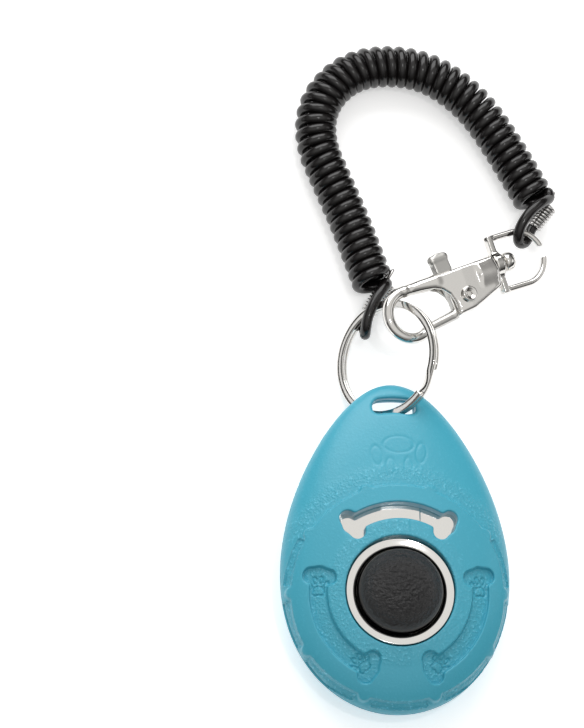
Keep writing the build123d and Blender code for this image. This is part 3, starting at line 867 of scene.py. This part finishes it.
CAP_PROFILE = (  # radius, height
    (0.0, 19.7), (3.0, 19.55), (5.6, 18.75), (7.3, 17.3), (8.15, 15.5), (8.25, 14.3), (8.0, 13.6),
    (7.6, 13.55), (6.9, 13.75), (0.0, 13.75),
)
PLATE_LEVEL = 12.45
DOME_PROFILE = (  # radius, height over the plate
    (10.6, -0.2), (10.6, 1.5), (10.4, 1.6), (9.9, 1.5), (8.9, 1.4), (8.7, 0.9), (8.3, 0.5),
    (7.4, 0.5), (5.0, 0.75), (1.8, 0.85),
)
TONGUE_BENDS = ((-12.0, -1.5), (-3.2, -0.3), (-3.0, -0.3), (4.4, 0.0), (4.6, -0.08), (12.0, -0.3))  # x, rise
TONGUE_ENDS = (9.8, 18.3)  # y
TONGUE_THICKNESS, TONGUE_SET_DOWN = 0.3, 0.02


def build_button():
    points, faces = revolved(smooth_profile(CAP_PROFILE, 7), 128)
    cap = to_object("button_skin", points, faces, "button", "button", ["button_cap"])
    z = np.array(points)[:, 2]
    r = np.linalg.norm(np.array(points)[:, :2], axis=1)
    set_grain(cap, np.clip((8.15 - r) / 1.6, 0.06, 1) * (z > 14))


def build_dome():
    """The bright sheet under the button: a flat, a collar, a groove and the dome's slope."""
    profile = smooth_profile([(radius, PLATE_LEVEL + height) for radius, height in DOME_PROFILE], 6)
    points, faces = revolved(profile, 128)
    dome = to_object("snap_dome", points, faces, "housing", "mirror", ["click_plate"])
    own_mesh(dome)


def build_tongue():
    """The sheet's end that shows in the slot, slightly creased across."""
    points = []
    for drop in (0.0, -TONGUE_THICKNESS):
        for y in TONGUE_ENDS:
            points += [(x, y, PLATE_LEVEL - TONGUE_SET_DOWN + rise + drop) for x, rise in TONGUE_BENDS]
    n = len(TONGUE_BENDS)
    faces = []
    for k in range(n - 1):
        faces.append((k, k + 1, n + k + 1, n + k))
        faces.append((2 * n + k, 3 * n + k, 3 * n + k + 1, 2 * n + k + 1))
        faces.append((k, 2 * n + k, 2 * n + k + 1, k + 1))
        faces.append((n + k, n + k + 1, 3 * n + k + 1, 3 * n + k))
    faces.append((0, n, 3 * n, 2 * n))
    faces.append((n - 1, 3 * n - 1, 4 * n - 1, 2 * n - 1))
    to_object("plate_tongue", points, faces, "housing", "mirror", flat=True)


# ---------------------------------------------------------------- split ring

RING_STEP = 0.42  # from the ring's middle plane to each turn's middle
RING_WIRE_HALF, RING_WIRE_THICK, RING_WIRE_CORNER = 0.74, 0.39, 0.16
RING_START, RING_CROSSING = radians(-20), radians(26)
RING_RUNS = 420


def ring_section():
    """The flat wire's section, a rectangle with round corners."""
    section = []
    for cx, cy, first in ((1, 1, 0), (-1, 1, 90), (-1, -1, 180), (1, -1, 270)):
        for k in range(4):
            a = radians(first + 30 * k)
            section.append((cx * (RING_WIRE_HALF - RING_WIRE_CORNER) + RING_WIRE_CORNER * cos(a),
                            cy * (RING_WIRE_THICK - RING_WIRE_CORNER) + RING_WIRE_CORNER * sin(a)))
    return section


def build_ring():
    """Two turns of flat wire side by side, with one crossing from the first turn to the second."""
    out_x = np.array([cos(RING_TILT), 0, sin(RING_TILT)])
    normal = np.array([-sin(RING_TILT), 0, cos(RING_TILT)])
    path = []
    total = 4 * pi - RING_CROSSING
    for k in range(RING_RUNS + 1):
        angle = total * k / RING_RUNS
        t = np.clip((angle - 2 * pi + RING_CROSSING) / RING_CROSSING, 0, 1)
        offset = RING_STEP * (2 * t * t * (3 - 2 * t) - 1)
        out = out_x * cos(RING_START + angle) + np.array([0, 1, 0]) * sin(RING_START + angle)
        path.append((RING_CENTRE + out * RING_RADIUS + normal * offset, out, normal))
    points, faces = swept(path, ring_section())
    to_object("ring_wire", points, faces, "ring", "nickel", ["split_ring"])


# ---------------------------------------------------------------- clasp

HEADING, SLOPE, ROLL = radians(21), radians(15), radians(8)
CLASP_CENTRE = np.array(joints["gate_turn"]["pos_m"]) / MM
CLASP_X = np.array([cos(HEADING) * cos(SLOPE), sin(HEADING) * cos(SLOPE), -sin(SLOPE)])
LEVEL_Y = np.array([-sin(HEADING), cos(HEADING), 0])
CLASP_Y = LEVEL_Y * cos(ROLL) + np.cross(CLASP_X, LEVEL_Y) * sin(ROLL)
CLASP_Z = np.cross(CLASP_X, CLASP_Y)
CLASP_AXES = np.stack([CLASP_X, CLASP_Y, CLASP_Z])
SWIVEL_OFFSET = 4.1
HOOK_CENTRE, HOOK_RADIUS, HOOK_WIRE = (-12.85, -0.4), 4.7, 1.13
HOOK_FIRST, HOOK_LAST = 84.0, 296.0  # the bend's ends, degrees
LEVER_HALF, WEB_EDGE = 0.85, 0.2
TAB_CENTRE, TAB_LEAN = (-2.9, 6.8), radians(5)
RIVET_HOLE = 1.06
BOW_START, BOW_RADIUS, BOW_WIRE = 14.7, 5.3, 0.65
CROSS_BAR_X = 9.12
POST_BORE = 1.22
SPRING_WIRE, SPRING_COIL, SPRING_POINTS = 0.17, 1.45, 50


def from_clasp(points):
    return np.asarray(points, float) @ CLASP_AXES + CLASP_CENTRE


def nose_field(x, y, z):
    """The hook's bent wire, from the body round to the nose."""
    px, py = x - HOOK_CENTRE[0], y - HOOK_CENTRE[1]
    angle = np.degrees(np.arctan2(py, px)) % 360
    inside = (angle >= HOOK_FIRST) & (angle <= HOOK_LAST)
    ring = np.sqrt((np.sqrt(px**2 + py**2) - HOOK_RADIUS) ** 2 + z**2)
    ends = []
    for a in (HOOK_FIRST, HOOK_LAST):
        ex, ey = HOOK_RADIUS * cos(radians(a)), HOOK_RADIUS * sin(radians(a))
        ends.append(np.sqrt((px - ex) ** 2 + (py - ey) ** 2 + z**2))
    return np.where(inside, ring, np.minimum(*ends)) - HOOK_WIRE


body_outline = polygon_field((
    (-3.2, -3.5), (0.8, -3.0), (7.7, -0.3), (7.7, 6.0), (0.0, 5.75), (-8.8, 5.3), (-11.2, 4.9),
    (-11.2, 4.0), (-8.4, 3.5), (-6.2, 3.0), (-4.7, 2.2), (-3.6, 1.0), (-3.1, -0.6), (-3.0, -2.0),
))
pocket_outline = polygon_field((
    (-5.3, 9), (-0.2, 9), (-0.2, 4.4), (-2.0, 3.0), (0.0, 0.5), (-0.8, -2.2), (-3.4, -4.4), (-9, -6),
    (-9, 2.2), (-5.3, 3.6),
))
travel_outline = polygon_field(((3.6, 9), (6.4, 9), (6.4, 4.7), (3.6, 4.6)))
web_outline = polygon_field((
    (-3.9, -3.6), (-1.6, -2.0), (0.2, 0.2), (-0.9, 5.0), (-4.7, 5.0), (-3.6, 1.0), (-3.5, -2.2),
))


def body_field(x, y, z):
    """The hook's casting, with the lever's pocket and the tab's travel slot cut in."""
    thick = np.interp(x, (-11, -5, 0, 6, 8), (1.1, 1.75, 2.25, 2.6, 2.6))
    f = slab(body_outline(x, y), np.abs(z) - thick, 0.75)
    barrel = slab(np.sqrt((y - 2.95) ** 2 + z**2) - 3.05, np.abs(x - 5.6) - 2.2, 0.5)
    f = smin(f, barrel, 0.8)
    f = smin(f, segment_field(x, y, z, (-12.4, 4.27, 0), (-5.6, 4.25, 0), 1.1, 1.45), 1.0)
    f = smin(f, nose_field(x, y, z), 0.4)
    f = smax(f, -np.maximum(pocket_outline(x, y), np.abs(z) - 1.05), 0.2)
    f = smax(f, -np.maximum(travel_outline(x, y), np.abs(z - 0.3) - 1.2), 0.2)
    collar = slab(np.sqrt((y - SWIVEL_OFFSET) ** 2 + z**2) - 2.3, np.abs(x - 7.5) - 0.42, 0.2)
    return smin(f, collar, 0.25)


def tab_field(x, y, z):
    """The lever's thumb tab: a plate with a round top and a rolled edge."""
    c, s = cos(TAB_LEAN), sin(TAB_LEAN)
    across, up = x - TAB_CENTRE[0], y - TAB_CENTRE[1]
    u, v = across * c + up * s, -across * s + up * c
    plate = slab(np.maximum(np.abs(u) - 1.78, np.sqrt(u**2 + (v - 0.5) ** 2) - 2.35), np.abs(z) - 0.95, 0.25)
    plate = np.maximum(plate, -(v + 3.2))
    roll = segment_field(u, v, z, (-1.3, 1.75, 0.15), (1.3, 1.75, 0.15), 0.98)
    return smin(plate, roll, 0.25)


def lever_field(x, y, z):
    """The gate: a bar that closes the mouth, a hub on the rivet, a web and the thumb tab."""
    bar = segment_field(x, y, z, (-3.4, -2.95, 0), (-9.0, -3.85, 0), 1.0, 0.92)
    hub = slab(np.sqrt(x**2 + y**2) - 2.0, np.abs(z) - LEVER_HALF, WEB_EDGE)
    web = slab(web_outline(x, y), np.abs(z) - LEVER_HALF, WEB_EDGE)
    f = smin(smin(bar, hub, 0.6), smin(web, tab_field(x, y, z), 0.4), 0.5)
    return smax(f, RIVET_HOLE - np.sqrt(x**2 + y**2), 0.1)


def d_ring_field(x, y, z):
    """A bow of round wire on a cross bar with a boss, bored along the swivel's axis."""
    y0 = y - SWIVEL_OFFSET
    bow = np.sqrt((np.sqrt((x - BOW_START) ** 2 + y0**2) - BOW_RADIUS) ** 2 + z**2) - BOW_WIRE
    f = np.where(x > BOW_START, bow, 9.0)
    for side in (-BOW_RADIUS, BOW_RADIUS):
        f = np.minimum(f, segment_field(x, y0, z, (8.9, side, 0), (BOW_START, side, 0), BOW_WIRE))
    off_bar = np.abs(x - CROSS_BAR_X)
    strip = slab(np.maximum(np.abs(y0) - 5.85, np.abs(z) - 0.95), off_bar - 0.62, 0.18)
    boss = slab(np.sqrt(y0**2 + z**2) - 2.35, off_bar - 0.95, 0.3)
    f = smin(f, smin(strip, boss, 0.7), 0.3)
    return smax(f, POST_BORE - np.sqrt(y0**2 + z**2), 0.1)


def clasp_piece(name, field, low, high, step, body, finish, nodes):
    points, faces = surface(field, low, high, step)
    return to_object(name, from_clasp(points), faces, body, finish, nodes)


def round_piece(name, profile, centre, axis, body, finish, nodes):
    """A turned piece: its profile of (radius, height) stands on centre along axis, in the clasp's plane."""
    points, faces = revolved(profile, 48)
    points = np.array(points)
    targets = {"x": (1, 2, 0), "z": (0, 1, 2)}[axis]
    placed = np.zeros_like(points)
    for k, target in enumerate(targets):
        placed[:, target] = points[:, k]
    to_object(name, from_clasp(placed + np.array(centre)), faces, body, finish, nodes)


EYE_PROFILE = (  # radius, height
    (0.5, -2.9), (0.5, 2.45), (0.62, 2.62), (0.85, 2.66), (1.0, 2.78), (1.25, 2.93), (1.5, 2.86),
    (1.62, 2.6), (1.6, 2.5), (1.0, 2.45), (1.0, -2.5), (1.6, -2.6), (1.6, -2.9), (0.5, -2.9),
)
POST_PROFILE = (
    (0, 5.8), (1.12, 5.8), (1.12, 10.6), (1.85, 10.7), (1.98, 11.3), (1.9, 12.4), (1.2, 13.1), (0, 13.2),
)


def build_torsion_spring():
    """Two turns of fine wire round the rivet, with a leg at each end."""
    line = []
    for k in range(SPRING_POINTS):
        a = radians(200 + 15 * k)
        height = 1.0 + 0.55 * k / (SPRING_POINTS - 1)
        line.append((SPRING_COIL * cos(a), SPRING_COIL * sin(a), height))
    line = [(-2.9, -1.4, 1.0), (-2.2, -1.0, 1.0), *line, (4.4, 0.9, 1.55)]
    points, faces = swept(along(line), round_section(SPRING_WIRE, 8))
    to_object("torsion_spring", from_clasp(points), faces, "clasp", "steel",
              ["gate_spring"])


def build_clasp():
    clasp_piece("hook_casting", body_field, (-19, -7.2, -3.4), (8.4, 6.9, 3.4), 0.2, "clasp", "nickel",
                ["hook_body"])
    clasp_piece("lever_casting", lever_field, (-10.5, -5.3, -1.6), (2.6, 9.9, 1.6), 0.17, "gate", "satin",
                ["gate_lever"])
    clasp_piece("d_ring_casting", d_ring_field, (7.7, -2.2, -2.8), (21, 10.4, 2.8), 0.19, "strap", "nickel",
                ["d_ring"])
    round_piece("rivet_eye", EYE_PROFILE, (0, 0, 0), "z", "clasp", "nickel", ["gate_rivet"])
    round_piece("swivel_head", smooth_profile(POST_PROFILE, 5), (0, SWIVEL_OFFSET, 0), "x", "clasp",
                "nickel", ["swivel_post"])
    build_torsion_spring()


def dress_plain_nodes():
    """The hidden CAD pieces keep their own meshes, with a finish."""
    for node, finish in (("cover_screws", "steel"), ("button_stem", "plastic"), ("stem_clip", "steel")):
        mesh = frame["nodes"][node].data
        mesh.materials.clear()
        mesh.materials.append(finishes[finish])


build_camera()
build_light()
build_floor()
build_cord()
build_housing()
build_button()
build_dome()
build_tongue()
build_ring()
build_clasp()
dress_plain_nodes()
bpy.context.scene.view_settings.view_transform = "Standard"
